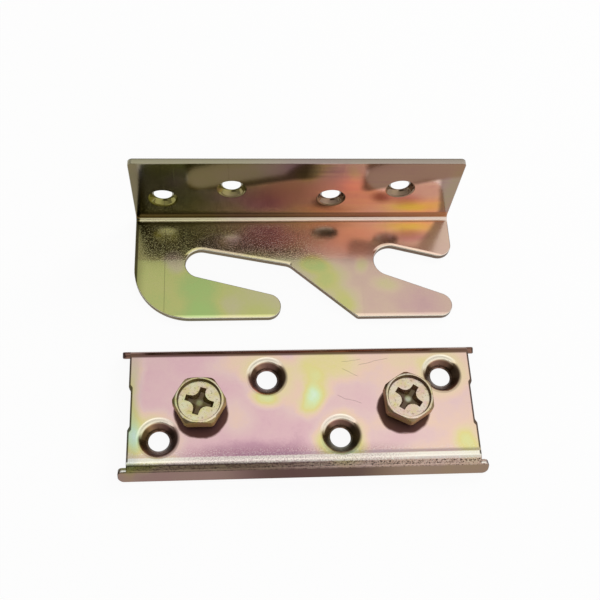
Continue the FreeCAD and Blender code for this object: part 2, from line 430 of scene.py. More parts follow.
def plated(board, stops, film, paleness, shade, roughness, height):
    """Glossy metal under a thin film, paler where it is worn and where highlights are painted, with the
    piece's tones and painted shade, and its relief.
    """
    colour = board.node("ShaderNodeValToRGB", {"stops": stops}, {"Fac": film})
    colour = board.mix(paleness, colour, zinc_pale)
    colour = board.mix(1.0, colour, shade, "MULTIPLY")
    bump = board.node(
        "ShaderNodeBump",
        None,
        {"Strength": 1.0, "Distance": bump_step, "Height": height},
    )
    metal = board.node(
        "ShaderNodeBsdfPrincipled",
        None,
        {"Base Color": colour, "Metallic": 1.0, "Roughness": roughness, "Normal": bump},
    )
    board.node("ShaderNodeOutputMaterial", None, {"Surface": metal})


def new_board(name):
    material = bpy.data.materials.new(name)
    material.use_nodes = True
    return material, Board(material.node_tree)


# Hook plate, unfolded: x along it and y from the hooks up the flange


def hook_film(board, flat):
    """Film thickness over the hook plate."""
    place = wandering(board, flat, wander_scale, 7.0 * mm)
    film = board.ease(board.parts(place)[0], -34 * mm, 26 * mm, 0.66, 0.28)
    plate_patches = (
        ((-30, 18), (9, 11), 0.16),
        ((-29, 9), (10, 7), 0.16),
        ((-37, 27), (5, 6), -0.26),
        ((-20, 13), (6, 4), -0.10),
        ((-10, 9), (9, 6), 0.12),
        ((6, 27), (7, 5), 0.34),
        ((10, 21), (8, 8), 0.34),
        ((15, 13), (7, 7), 0.34),
        ((20, 26), (3, 5), 0.26),
        ((28, 19), (7, 4), 0.22),
        ((-10, 36), (14, 7), -0.40),
        ((-22, 34), (12, 6), -0.30),
        ((18, 31), (12, 6), -0.10),
        ((37, 39), (9, 4), 0.28),
        ((38, 13), (12, 8), -0.12),
    )
    flange_patches = (
        ((-16, 51), (18, 10), -0.34),
        ((2, 60), (22, 16), -0.16),
        ((4, 72), (18, 10), -0.30),
        ((38, 50), (14, 4), 0.36),
        ((48, 60), (5, 20), 0.18),
    )
    return with_patches(board, film, place, plate_patches + flange_patches)


def brushed_lines(board, flat, x, y):
    """Fine lines along the right part of the flange, about half above and half below 0."""
    stretched = board.vector("MULTIPLY", flat, (0.03, 1.0, 1.0))
    lines = board.noise(stretched, line_scale, 3.0) - 0.5
    lines = lines * board.ease(y, hook_face_y - 0.3 * mm, hook_face_y - 0.1 * mm)
    return lines * board.ease(x, -15 * mm, 10 * mm)


def slot_lip(board, flat, slot):
    """1 on the rolled lip along the upper edge of a slot and round its closed end."""
    centre, radius, slope, reach = slot
    turn = math.radians(slope)
    offset = board.vector("SUBTRACT", flat, (centre[0] * mm, centre[1] * mm, 0))
    along = board.dot(offset, (math.cos(turn), -math.sin(turn), 0))
    above = board.dot(offset, (math.sin(turn), math.cos(turn), 0))
    outward = board.length(board.joined(along.least(0.0), above, 0.0))
    lip = board.ease(outward, (radius + 1.1) * mm, radius * mm)
    lip = lip * board.ease(above, 0.2 * radius * mm, 0.6 * radius * mm)
    return lip * board.ease(along, (reach + 0.5) * mm, reach * mm)


def pale_lips(board, flat):
    """1 on the lips of the hook plate that catch the light."""
    from_tip = board.parts(flat)[1] - (hook_low.y + sheet)
    hook_tips = board.ease(from_tip, 1.3 * mm, 0.2 * mm)
    return strongest([slot_lip(board, flat, left_slot), slot_lip(board, flat, right_slot), hook_tips])


def plate_tone(board, flat, place):
    """Painted shade of the lying part, darker to the left and with another tone nearer the hooks, a
    dark left end, and painted shade over the mirror images of the flange's holes.
    """
    x, y, z = board.parts(place)
    tone = board.mix(board.ease(x, -30 * mm, 20 * mm), plate_dark, plate_pale)
    low_tone = board.mix(board.ease(x, -10 * mm, 25 * mm), plate_low, plate_low_right)
    tone = board.mix(board.ease(y, 29.4 * mm, 28.0 * mm), tone, low_tone)
    left_end = board.ease(x, -46.0 * mm, -50.0 * mm) * 0.35
    left_brink = board.ease(board.parts(flat)[0], -49.0 * mm, -49.5 * mm) * 0.9
    tone = board.mix(left_end.most(left_brink), tone, near_black)
    mirror_shades = [(soft_oval(board, place, centre, reach), mirror_tone) for centre, reach, mirror_tone in plate_mirror_shades]
    return painted(board, tone, mirror_shades)


def flange_painted_reflections(board, shade, place, front):
    """The shade with painted shade on the flange's front at both ends, and painted reflections of the
    two slots under the rim.
    """
    x, y, z = board.parts(place)
    climb = y - hook_face_y
    ends = board.ease(x, -45.5 * mm, -48.0 * mm)
    ends = ends.most(board.ease(x + climb * 0.14, 46.6 * mm, 48.6 * mm)) * 0.9
    end_tone = board.mix(board.ease(x, -40 * mm, 40 * mm), end_shade_brown, end_shade_pale)
    left = soft_corner(board, x + 30 * mm, climb - (x + 27 * mm) * 0.20 - 21.8 * mm)
    left = left * board.ease(x, 8.0 * mm, 2.0 * mm)
    right = soft_corner(board, x - 24 * mm, climb - (x - 22 * mm) * 0.28 - 21.0 * mm)
    layers = ((ends * front, end_tone), (left * front, slot_image_brown), (right * front, slot_image_pale))
    return painted(board, shade, layers)


def flange_cones(board, flat):
    """1 in the countersinks of the flange."""
    cones = []
    for x, z in flange_holes:
        centre = (x * mm, hook_face_y + z * mm, 0)
        away = board.length(board.vector("SUBTRACT", flat, centre))
        cones.append(board.ease(away, 4.75 * mm, 4.45 * mm))
    return strongest(cones)


def hook_shade(board, flat, depth):
    """How much darker the hook plate is painted from place to place, mostly painted shade and
    reflections, depth being its y.
    """
    place = wandering(board, flat, 70.0, 3.0 * mm)
    x, unfolded, z = board.parts(flat)
    on_flange = board.ease(unfolded, hook_face_y + 2.4 * mm, hook_face_y + 3.2 * mm)
    front = board.ease(depth, hook_high.y - 0.05 * mm, hook_high.y - 0.15 * mm) * on_flange
    shade = board.mix(on_flange, plate_tone(board, flat, place), unshaded)
    # Tints over the flange, with painted shade to the left and painted light to the right
    for centre, reach, tone in flange_tones:
        shade = board.mix(soft_oval(board, place, centre, reach) * on_flange, shade, tone)
    shade = flange_painted_reflections(board, shade, place, front)
    score = board.ease(abs(x + 40.9 * mm), 0.20 * mm, 0.06 * mm)
    # Painted shade in the flange's countersinks, and a scratch
    layers = ((flange_cones(board, flat) * front, cone_olive), (score * 0.30, near_black))
    return painted(board, shade, layers)


def hook_edges(board, point, normal):
    """1 on the sheared faces round the blank."""
    x, y, z = board.parts(point)
    along_x, along_y, along_z = [abs(part) for part in board.parts(normal)]
    on_plate = board.ease(y, hook_face_y - 1.5 * mm, hook_face_y - 2.0 * mm)
    across_plate = board.ease(along_z, 0.45, 0.25) * on_plate
    across_flange = board.ease(along_x, 0.80, 0.92) * board.ease(z, 4.0 * mm, 4.6 * mm)
    return across_plate.most(across_flange)


def broken_edge(board, normal):
    """1 on the narrow slopes between the upper face and the sheared faces."""
    upward = board.parts(normal)[2]
    return board.ease(upward, 0.97, 0.85) * board.ease(upward, 0.20, 0.40)


def flange_rim(board, point, normal):
    """1 on the upper edge of the flange."""
    height = board.parts(point)[2]
    upward = board.parts(normal)[2]
    return board.ease(upward, 0.30, 0.60) * board.ease(height, 20 * mm, 25 * mm)


def hook_bend(board, point):
    """1 on the band low in the bend, where a highlight is painted, and 1 on the foot of the flange
    above it, where shade is painted.
    """
    x, y, z = board.parts(point)
    inside = board.ease(y, hook_face_y - 1.8 * mm, hook_face_y - 1.4 * mm)
    band = inside * board.ease(z, 1.5 * mm, 1.9 * mm) * board.ease(z, 2.65 * mm, 2.35 * mm)
    band = band * board.ease(x, -49.4 * mm, -48.8 * mm)
    foot = inside * board.ease(z, 2.35 * mm, 2.65 * mm) * board.ease(z, 5.4 * mm, 4.6 * mm)
    return band, foot


def hook_finish():
    material, board = new_board("hook_film")
    point, normal = surface(board)
    x, y, z = board.parts(point)
    toward = board.parts(normal)[1]
    flat = board.joined(x, y + z, 0.0)
    cloud = board.noise(flat, cloud_scale, 4.0, 0.6)
    grain = board.noise(point, grain_scale, 3.0, 0.6)
    waves = board.noise(flat, wave_scale, 1.0)
    streaks = scratch_lines(board, flat, (1.0, 0.02, 1.0), line_scale, 0.30)
    on_plate = board.ease(y, hook_face_y - 2.0 * mm, hook_face_y - 3.0 * mm)
    grit = board.noise(point, hook_grit_scale, 1.0)
    gritty = on_plate * board.ease(y, 25.2 * mm, 26.8 * mm) * board.ease(x, 30 * mm, -15 * mm)
    bright_specks = board.ease(grit, 0.56, 0.66) * gritty
    dark_specks = board.ease(grit, 0.46, 0.36) * gritty
    edges = hook_edges(board, point, normal)
    slope = broken_edge(board, normal) * on_plate
    lit = slope * board.ease(toward, -0.15, -0.35)
    rim = flange_rim(board, point, normal)
    rim_back = rim * board.ease(y, hook_high.y - 0.55 * mm, hook_high.y - 0.25 * mm)
    band, foot = hook_bend(board, point)
    foot_tone = board.mix(board.ease(x, -20 * mm, 40 * mm), foot_dark, foot_pale)
    lips = pale_lips(board, flat) * on_plate
    # Painted light over a dark reflection beside the right slot
    reflection_lift = soft_oval(board, flat, (20.3, 31.2), (6.5, 4.5)) * on_plate
    # Painted highlights on the lips, the bend band and the lit slopes; painted shade on the flange's
    # foot, the other slopes and the rim's back; the specks, sheared faces and rim tone are the plate's
    # own
    layers = (
        (dark_specks * 0.35, near_black),
        (lips * 0.8, edge_pale),
        (reflection_lift, reflection_lift_warm),
        (foot, foot_tone),
        (band, unshaded),
        (slope, edge_dark),
        (lit, unshaded),
        (edges, shear_brown),
        (rim, rim_grey),
        (rim_back, rim_dark),
    )
    shade = painted(board, hook_shade(board, flat, y), layers)
    film = hook_film(board, flat) + (cloud - 0.5) * 0.20 + (grain - 0.5) * 0.12
    film = (film + brushed_lines(board, flat, x, y) * 0.35).least(0.84)
    # Paler with painted highlights on the bend band, lips and lit slopes and the painted light beside
    # the right slot; the rim and bright specks are paler too
    paleness = band * 0.42 + lips * 0.4 + reflection_lift * 0.3 + lit * 0.7
    paleness = paleness + rim * (0.35 + grit * 0.4) + bright_specks * 0.3
    roughness = 0.08 + on_plate * 0.05 + grain * 0.08 + streaks * 0.06
    roughness = roughness + edges * 0.25 + rim * 0.3 + band * 0.25 + slope * 0.2
    height = grain * 0.35 + waves * 2.0 + streaks * 0.2 + grit * gritty * 0.6 + bright_specks
    from_bend = (y - (hook_face_y - sheet)).least(0.0)
    height = height - lips * lip_drop + from_bend * (plate_dip / mm)
    plated(board, film_stops, film, paleness, shade, roughness, height)
    return material


# Receiver: x along it and y across from its middle line


def receiver_film(board, flat):
    """Film thickness over the receiver."""
    place = wandering(board, flat, wander_scale, 8.0 * mm)
    film = board.ease(board.parts(place)[0], -5 * mm, 30 * mm, 0.18, 0.36)
    patches = (
        ((-50, 0), (6, 26), 0.50),
        ((-45, -7), (9, 10), 0.32),
        ((-46, -15.6), (15, 2.4), 0.40),
        ((-16, 13), (14, 7), 0.20),
        ((-11, 2.2), (6, 4), 0.46),
        ((-2, 6), (10, 13), 0.24),
        ((2, 1), (5, 7), 0.40),
        ((4, 5), (6, 8), 0.30),
        ((7, 13), (15, 8), 0.38),
        ((-14, -13), (22, 5), -0.20),
        ((-20, -3), (8, 7), 0.14),
        ((2, -7), (14, 6), -0.04),
        ((10, -12), (10, 8), 0.50),
        ((17, 1), (9, 8), -0.08),
        ((27, -10.5), (17, 5), -0.12),
        ((47, -12), (7, 8), 0.34),
        ((44, 3), (9, 9), -0.08),
        ((30, 13), (12, 5), 0.10),
    )
    return with_patches(board, film, place, patches)


def from_hole(board, flat, x, y):
    """Offset of a point on the web from a screw hole, and its distance."""
    offset = board.vector("SUBTRACT", flat, (x * mm, y * mm, 0))
    return offset, board.length(offset)


def hole_rings(board, flat, inner, outer):
    """1 at the screw holes and round them, fading from an inner to an outer radius in millimetres."""
    rings = []
    for x, y in web_holes:
        offset, away = from_hole(board, flat, x, y)
        rings.append(board.ease(away, outer * mm, inner * mm))
    return strongest(rings)


def hole_cones(board, flat):
    """1 in the cones of the screw holes."""
    return hole_rings(board, flat, 5.1, 5.7)


def cone_sides(board, flat, aim, reach):
    """1 in the cones of the screw holes, on the side that the aim points to."""
    sides = []
    for x, y in web_holes:
        offset, away = from_hole(board, flat, x, y)
        side = board.ease(board.dot(offset, aim) / away, 0.15, 0.85)
        sides.append(side * board.ease(away, (reach + 0.3) * mm, (reach - 0.3) * mm))
    return strongest(sides)


def lit_lips(board, flat):
    """The rolled lips of the screw holes on the far side: how far they rise, and 1 where they shine."""
    lips = []
    gleams = []
    for x, y in web_holes:
        offset, away = from_hole(board, flat, x, y)
        far = board.ease(board.dot(offset, lip_side) / away, 0.20, 0.75)
        outer = board.ease(away, 6.4 * mm, 5.9 * mm)
        lips.append(far * board.ease(away, 5.9 * mm, 4.8 * mm))
        gleams.append(far * board.ease(away, 4.6 * mm, 5.0 * mm) * outer)
    return strongest(lips), strongest(gleams)


def head_shadows(board, flat):
    """1 on the web in the shadow of the bolt heads, which falls to the near side."""
    place = wandering(board, flat, 170.0, 1.6 * mm)
    shadows = []
    for x, y in shadow_centres:
        offset, away = from_hole(board, place, x, y)
        shadows.append(board.ease(away, shadow_reach + 0.4 * mm, shadow_reach - 0.4 * mm))
    return strongest(shadows)


def web_scratches(board, flat):
    """1 along a few hairline scratches on the web, each from one point to another."""
    place = wandering(board, flat, 300.0, 0.9 * mm)
    marks = (
        ((9.9, 2.8), (12.8, 1.4)),
        ((12.4, 1.7), (16.8, 0.2)),
        ((11.9, 13.2), (17.5, 13.9)),
        ((11.9, 11.1), (16.4, 8.5)),
        ((16.6, 12.0), (25.5, 14.2)),
    )
    lines = []
    for start, stop in marks:
        span = Vector((stop[0] - start[0], stop[1] - start[1]))
        ahead = span.normalized() / mm
        offset = board.vector("SUBTRACT", place, (start[0] * mm, start[1] * mm, 0))
        along = board.dot(offset, (ahead.x, ahead.y, 0))
        aside = abs(board.dot(offset, (-ahead.y, ahead.x, 0)))
        line = board.ease(aside, 0.13, 0.04) * board.ease(along, -0.3, 0.5)
        lines.append(line * board.ease(along, span.length + 0.3, span.length - 0.5))
    return strongest(lines)


def cut_ends(board, x, y, along_x):
    """1 on the sheared ends of the receiver and along their brink, which follows the notches."""
    notch = board.ease(abs(y), 7.3 * mm, 6.2 * mm) * (0.6 * mm)
    brink = board.ease(abs(x) + notch, 49.35 * mm, 49.60 * mm)
    brink = brink * board.ease(abs(y), 16.0 * mm, 15.5 * mm)
    return board.ease(abs(along_x), 0.30, 0.60).most(brink)


def receiver_shade(board, flat, normal, dark_specks):
    """How much darker the receiver is from place to place: painted shade on the bends, the fold, the
    far side and in the cones, painted light on one side of the cones, painted shadows of the bolt
    heads, the darker ends and a plum band.
    """
    x, y, z = board.parts(flat)
    along_x, along_y, along_z = board.parts(normal)
    left_end = board.ease(x, -45.5 * mm, -48.5 * mm)
    # A darker plum band before the near fold, with dark specks
    fold_side_band = board.ease(y, -10.5 * mm, -13.5 * mm) * board.ease(abs(x + 4 * mm), 38 * mm, 22 * mm)
    bent = board.ease(along_z, 0.93, 0.86) * board.ease(y, -15.2 * mm, -15.6 * mm)
    bend_tone = board.mix(board.ease(x, -20 * mm, 35 * mm), bend_dark, bend_pale)
    bend_tone = board.mix(dark_specks * 0.9, bend_tone, near_black)
    leaning = board.ease(along_z, 0.52, 0.44)
    middle = board.ease(abs(x - 2 * mm), 30 * mm, 10 * mm)
    # Painted shade on the bend, fold, far side and cones, painted light on the cones' left side, and
    # the painted shadows of the bolt heads
    layers = (
        (left_end, end_blue),
        (fold_side_band * (0.25 + dark_specks * 0.35), fold_side_plum),
        (bent, bend_tone),
        (leaning, board.mix(middle, fold_pale, fold_dark)),
        (board.ease(y, 15.3 * mm, 16.0 * mm), far_brown),
        (head_shadows(board, flat), shadow_brown),
        (hole_cones(board, flat), cone_maroon),
        (cone_sides(board, flat, left_side, cone_reach), cone_rose),
        (cone_sides(board, flat, far_side, far_cone_reach), cone_umber),
        (cone_sides(board, flat, near_side, cone_reach), cone_near),
        (cut_ends(board, x, y, along_x) * 0.9, near_black),
    )
    return painted(board, unshaded, layers)


def near_fold(board, across, upward):
    """1 on each band along the near fold: the crown and the brow before it, where highlights are
    painted, and the trough, where shade is painted.
    """
    crown = board.ease(upward, 0.995, 0.975) * board.ease(upward, 0.88, 0.93)
    crown = crown * board.ease(across, -15.0 * mm, -15.4 * mm)
    brow = board.ease(across, -14.55 * mm, -14.85 * mm) * board.ease(upward, 0.96, 0.985)
    trough = board.ease(across, -13.4 * mm, -14.2 * mm) * board.ease(across, -14.8 * mm, -14.5 * mm)
    return crown, brow, trough


def receiver_finish():
    material, board = new_board("receiver_film")
    point, normal = surface(board)
    x, y, z = board.parts(point)
    along_x, along_y, upward = board.parts(normal)
    across = y - receiver_y
    flat = board.joined(x, across, 0.0)
    cloud = board.noise(flat, cloud_scale, 4.0, 0.6)
    grain = board.noise(point, grain_scale, 3.0, 0.6)
    waves = board.noise(flat, wave_scale, 1.0)
    streaks = scratch_lines(board, flat, (0.03, 1.0, 1.0), line_scale, 0.30)
    grit = board.noise(point, web_grit_scale, 1.0)
    gritty = board.ease(across, -11.0 * mm, -14.5 * mm) * board.ease(upward, 0.50, 0.62)
    bright_specks = board.ease(grit, 0.56, 0.66) * gritty
    dark_specks = board.ease(grit, 0.50, 0.38) * gritty
    ends = board.ease(abs(along_x), 0.75, 0.90)
    crown, brow, trough = near_fold(board, across, upward)
    rise, shine = lit_lips(board, flat)
    # Painted highlight on the lips of the screw holes, the crown's painted highlight dimmed to the
    # right, and painted shade in the trough
    layers = (
        (shine, unshaded),
        (web_scratches(board, flat) * 0.35, near_black),
        (crown * board.ease(x, 15 * mm, 35 * mm), crown_grey),
        (trough * board.ease(x, -25 * mm, 25 * mm, 0.25, 1.0), trough_grey),
    )
    shade = painted(board, receiver_shade(board, flat, normal, dark_specks), layers)
    film = receiver_film(board, flat) + hole_rings(board, flat, 6.0, 9.5) * 0.14
    film = film + (cloud - 0.5) * 0.24 + (grain - 0.5) * 0.10
    # Paler with the painted highlights on the crown, the brow and the lips, and the bright specks
    paleness = crown * board.ease(abs(x + 8 * mm), 38 * mm, 18 * mm, 0.40, 0.80)
    paleness = strongest([paleness, brow * 0.8, shine * 0.6]) + bright_specks * 0.45
    roughness = 0.07 + grain * 0.08 + streaks * 0.05 + ends * 0.25 + crown * 0.15
    roughness = roughness + hole_cones(board, flat) * 0.20 + head_shadows(board, flat) * 0.45
    height = grain * 0.35 + waves * 4.0 + streaks * 0.2 + grit * gritty * 2.4 + rise * roll_rise
    plated(board, web_stops, film, paleness, shade, roughness, height)
    return material


# Bolts


def bolt_shade(board, point, normal, pits):
    """How much darker the bolts are painted: painted shade in the recess and its groove, on the
    chamfer, on the flanks and under the head, with pits and a painted glint in the middle of the
    recess.
    """
    x, y, z = board.parts(point)
    along_x, along_y, upward = board.parts(normal)
    from_axis = board.length(board.joined(abs(x) - bolt_offset, y - receiver_y, 0.0))
    flank_tone = board.mix(board.ease(along_x, 0.3, 0.7), flank_dark, flank_pale)
    in_dish = board.ease(z, dish_floor - 0.05 * mm, dish_floor)
    in_dish = in_dish * board.ease(from_axis, 6.30 * mm, 6.25 * mm)
    groove = in_dish * board.ease(from_axis, 5.75 * mm, 5.90 * mm)
    in_head = board.ease(z, head_seat, head_seat + 0.1 * mm)
    sunk = board.ease(z, dish_floor - 0.05 * mm, dish_floor - 0.35 * mm)
    recess = sunk * in_head * board.ease(from_axis, 4.6 * mm, 4.4 * mm)
    recess_tone = board.mix(board.ease(upward, 0.75, 0.60), recess_brown, recess_wall)
    centre = recess * board.ease(upward, 0.7, 0.9) * board.ease(from_axis, 1.3 * mm, 0.3 * mm)
    layers = (
        (pits * 0.6, pit_brown),
        (board.ease(upward, 0.93, 0.86), chamfer_brown),
        (board.ease(upward, 0.60, 0.35), flank_tone),
        (board.ease(upward, -0.30, -0.60), underside),
        (groove * 0.85, recess_brown),
        (recess, recess_tone),
        (centre * board.ease(x, -10 * mm, 10 * mm, 0.45, 0.9), recess_glint),
    )
    return painted(board, head_pale, layers)


def bolt_finish():
    material, board = new_board("bolt_film")
    point, normal = surface(board)
    upward = board.parts(normal)[2]
    cloud = board.noise(point, bolt_cloud_scale, 4.0, 0.6)
    mottle = board.noise(point, bolt_mottle_scale, 2.0, 0.6)
    grain = board.noise(point, bolt_grain_scale, 3.0, 0.6)
    pits = board.ease(board.noise(point, bolt_pit_scale, 2.0), 0.58, 0.68)
    top = board.ease(upward, 0.60, 0.90)
    flank = board.ease(abs(upward), 0.60, 0.35)
    film = board.ease(board.parts(point)[0], -10 * mm, 10 * mm, 0.60, 0.46)
    film = film + (cloud - 0.5) * 0.9 + (mottle - 0.5) * 0.35
    shade = bolt_shade(board, point, normal, pits)
    paleness = top * board.ease(board.noise(point, bolt_wear_scale, 3.0), 0.35, 0.65) * 0.45
    roughness = 0.07 + grain * 0.04 + top * (0.12 + grain * 0.12) + flank * 0.45
    height = grain * top * 0.6 - pits * top * 1.2
    plated(board, web_stops, film, paleness, shade, roughness, height)
    return material


# Meshes


def linked(name, data):
    """A new object in the scene that shows a mesh, a lamp or a camera."""
    thing = bpy.data.objects.new(name, data)
    bpy.context.scene.collection.objects.link(thing)
    return thing


def merged_copy(node):
    """The node's triangles as one closed surface with flat areas joined."""
    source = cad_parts[node].data
    corners = [vertex.co.copy() for vertex in source.vertices]
    faces = [list(polygon.vertices) for polygon in source.polygons]
    mesh = bpy.data.meshes.new(node)
    mesh.from_pydata(corners, [], faces)
    work = bmesh.new()
    work.from_mesh(mesh)
    bmesh.ops.remove_doubles(work, verts=work.verts, dist=seam)
    bmesh.ops.dissolve_limit(work, angle_limit=flat_angle, verts=work.verts, edges=work.edges)
    work.to_mesh(mesh)
    work.free()
    return mesh


def finished(thing, edge_width, edge_steps):
    """Rounds the sharp edges, evens the shading and keeps the result as a plain mesh."""
    thing.data.shade_smooth()
    thing.data.set_sharp_from_angle(angle=smooth_angle)
    rounding = thing.modifiers.new("edge_rounding", "BEVEL")
    rounding.width = edge_width
    rounding.segments = edge_steps
    rounding.limit_method = "ANGLE"
    rounding.angle_limit = smooth_angle
    rounding.use_clamp_overlap = True
    evening = thing.modifiers.new("even_shading", "WEIGHTED_NORMAL")
    evening.keep_sharp = True
    depsgraph = bpy.context.evaluated_depsgraph_get()
    mesh = bpy.data.meshes.new_from_object(thing.evaluated_get(depsgraph))
    thing.modifiers.clear()
    thing.data = mesh
    return thing


def dressed(node, name, body, slot, material, edge_width, edge_steps):
    """A finished copy of a CAD node that stands for it."""
    thing = linked(name, merged_copy(node))
    thing.data.materials.append(material)
    finished(thing, edge_width, edge_steps)
    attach(thing, body)
    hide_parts(node)
    return thing


def thread_tree(steps_around, steps_along):
    """Node tree that winds a right-hand thread round an upright shank."""
    tree = bpy.data.node_groups.new("shank_thread", "GeometryNodeTree")
    face = tree.interface
    for name in ("Root Radius", "Crest Radius", "Pitch", "Length", "Tip Chamfer"):
        face.new_socket(name, in_out="INPUT", socket_type="NodeSocketFloat")
    face.new_socket("Seat", in_out="INPUT", socket_type="NodeSocketVector")
    face.new_socket("Finish", in_out="INPUT", socket_type="NodeSocketMaterial")
    face.new_socket("Geometry", in_out="OUTPUT", socket_type="NodeSocketGeometry")
    board = Board(tree)
    entry = board.node("NodeGroupInput")
    given = {socket.name: entry.other(socket.name) for socket in entry.socket.node.outputs}
    counts = {"Vertices X": steps_around + 1, "Vertices Y": steps_along + 1}
    grid = board.node("GeometryNodeMeshGrid", None, {"Size X": 1.0, "Size Y": 1.0, **counts})
    across, down, level = board.parts(board.node("GeometryNodeInputPosition"))
    turn = across + 0.5
    share = 0.5 - down
    drop = share * given["Length"]
    phase = board.node("ShaderNodeMath", {"operation": "FRACT"}, {0: turn + drop / given["Pitch"]})
    ridge = board.ease(abs(phase * 2.0 - 1.0), 0.12, 0.88)
    depth = given["Crest Radius"] - given["Root Radius"]
    radius = given["Root Radius"] + depth * ridge
    tip = given["Crest Radius"] - given["Tip Chamfer"] + given["Length"] - drop
    radius = radius.least(tip)
    rim = 0.5 / steps_along
    open_side = board.node("ShaderNodeMath", {"operation": "GREATER_THAN"}, {0: share, 1: rim})
    shut_side = board.node("ShaderNodeMath", {"operation": "LESS_THAN"}, {0: share, 1: 1.0 - rim})
    radius = radius * open_side * shut_side
    angle = turn * (2 * math.pi)
    east = board.node("ShaderNodeMath", {"operation": "COSINE"}, {0: angle}) * radius
    north = board.node("ShaderNodeMath", {"operation": "SINE"}, {0: angle}) * radius
    place = board.vector("ADD", board.joined(east, north, 0.0 - drop), given["Seat"])
    wound = board.node("GeometryNodeSetPosition", None, {"Geometry": grid, "Position": place})
    closed = board.node("GeometryNodeMergeByDistance", None, {"Geometry": wound, "Distance": seam})
    real = board.node("GeometryNodeRealizeInstances", None, {"Geometry": closed})
    painted = board.node(
        "GeometryNodeSetMaterial", None, {"Geometry": real, "Material": given["Finish"]}
    )
    board.node("NodeGroupOutput", None, {"Geometry": painted})
    return tree


def threaded_shank(settings, seat, material):
    """Plain mesh of one shank, its top sunk a little into the head."""
    holder = linked("shank_holder", bpy.data.meshes.new("shank_holder"))
    tree = thread_tree(settings.steps_around, settings.steps_along)
    values = {
        "Root Radius": settings.root_radius,
        "Crest Radius": settings.crest_radius,
        "Pitch": settings.pitch,
        "Length": settings.shank_length + settings.sunk,
        "Tip Chamfer": settings.tip_chamfer,
        "Seat": seat + Vector((0, 0, settings.sunk)),
        "Finish": material,
    }
    winding = holder.modifiers.new("thread", "NODES")
    winding.node_group = tree
    for socket in tree.interface.items_tree:
        if socket.name in values:
            winding[socket.identifier] = values[socket.name]
    depsgraph = bpy.context.evaluated_depsgraph_get()
    mesh = bpy.data.meshes.new_from_object(holder.evaluated_get(depsgraph))
    bpy.data.objects.remove(holder)
    return mesh


def head_only(node, seat):
    """The node's head as a closed surface, without the plain shank."""
    mesh = merged_copy(node)
    work = bmesh.new()
    work.from_mesh(mesh)
    below = [vertex for vertex in work.verts if vertex.co.z < seat.z - seam]
    bmesh.ops.delete(work, geom=below, context="VERTS")
    rim = [edge for edge in work.edges if edge.is_boundary]
    bmesh.ops.contextual_create(work, geom=rim)
    bmesh.ops.recalc_face_normals(work, faces=work.faces)
    work.to_mesh(mesh)
    work.free()
    return mesh


def dressed_bolt(node, material, settings):
    """One bolt: a head with rounded edges and a threaded shank, in one mesh."""
    low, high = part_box(node)
    seat = Vector(((low.x + high.x) / 2, (low.y + high.y) / 2, high.z - head_height))
    bolt = linked(node + "_finish", head_only(node, seat))
    bolt.data.materials.append(material)
    finished(bolt, settings.edge_width, settings.edge_steps)
    shank = threaded_shank(settings, seat, material)
    shank.shade_smooth()
    work = bmesh.new()
    work.from_mesh(shank)
    bmesh.ops.recalc_face_normals(work, faces=work.faces)
    work.to_mesh(shank)
    work.clear()
    work.from_mesh(bolt.data)
    work.from_mesh(shank)
    work.to_mesh(bolt.data)
    work.free()
    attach(bolt, node)
    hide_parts(node)
    return bolt


# Stage


def floor_finish(colour, glow):
    """Pale floor that shows white to the eye and in reflections, and keeps a soft shadow."""
    material, board = new_board("floor_paper")
    seen = board.node("ShaderNodeLightPath", None, None, "Is Camera Ray")
    glossy = seen.other("Is Glossy Ray")
    through = seen.other("Is Transmission Ray")
    seen = seen.most(glossy).most(through)
    paper = board.node("ShaderNodeBsdfDiffuse", None, {"Color": colour})
    white = board.node("ShaderNodeEmission", None, {"Color": unshaded, "Strength": 1.0})
    surface = board.node("ShaderNodeMixShader", None, {0: seen * glow, 1: paper, 2: white})
    board.node("ShaderNodeOutputMaterial", None, {"Surface": surface})
    return material


def lay_floor(colour, glow):
    signs = ((-1, -1), (1, -1), (1, 1), (-1, 1))
    corners = [(x * floor_reach, y * floor_reach, floor_drop) for x, y in signs]
    mesh = bpy.data.meshes.new("floor")
    mesh.from_pydata(corners, [], [(0, 1, 2, 3)])
    mesh.materials.append(floor_finish(colour, glow))
    linked("floor", mesh)


def light_room():
    """Soft pale room, brighter overhead and to the right, with a dark figure behind the camera."""
    world = bpy.data.worlds.new("room")
    bpy.context.scene.world = world
    world.use_nodes = True
    board = Board(world.node_tree)
    way = board.node("ShaderNodeTexCoord", None, None, "Generated")
    x, y, z = board.parts(way)
    height = board.ease(z, 0.80, 0.95, 0.68, 1.0) * board.ease(z, 0.0, 0.4, 0.85, 1.0)
    height = height + board.ease(z, 0.965, 0.99) * board.ease(y, 0.2, 0.0) * 0.35
    level = height * (0.92 + x * 0.45) * board.ease(y, -0.15, -0.35, 1.0, 1.15)
    level = level + board.ease(y, -0.15, -0.35) * board.ease(x, 0.05, 0.40) * 0.20
    figure = board.ease(x, 0.20, -0.05) * board.ease(x, -0.80, -0.50)
    figure = figure * board.ease(y, -0.24, -0.34) * board.ease(y, -0.78, -0.64)
    settings = {"operation": "SCALE"}
    pale = board.node("ShaderNodeVectorMath", settings, {0: room_white, "Scale": level})
    colour = board.mix(figure, pale, figure_dark)
    back = board.node("ShaderNodeBackground", None, {"Color": colour, "Strength": 1.0})
    board.node("ShaderNodeOutputWorld", None, {"Surface": back})


def hang_lamp(name, place, target, size, power):
    lamp = bpy.data.lights.new(name, "AREA")
    lamp.shape = "DISK"
    lamp.size = size
    lamp.energy = power
    holder = linked(name, lamp)
    holder.visible_glossy = False
    holder.location = place
    holder.rotation_euler = (Vector(target) - Vector(place)).to_track_quat("-Z", "Y").to_euler()


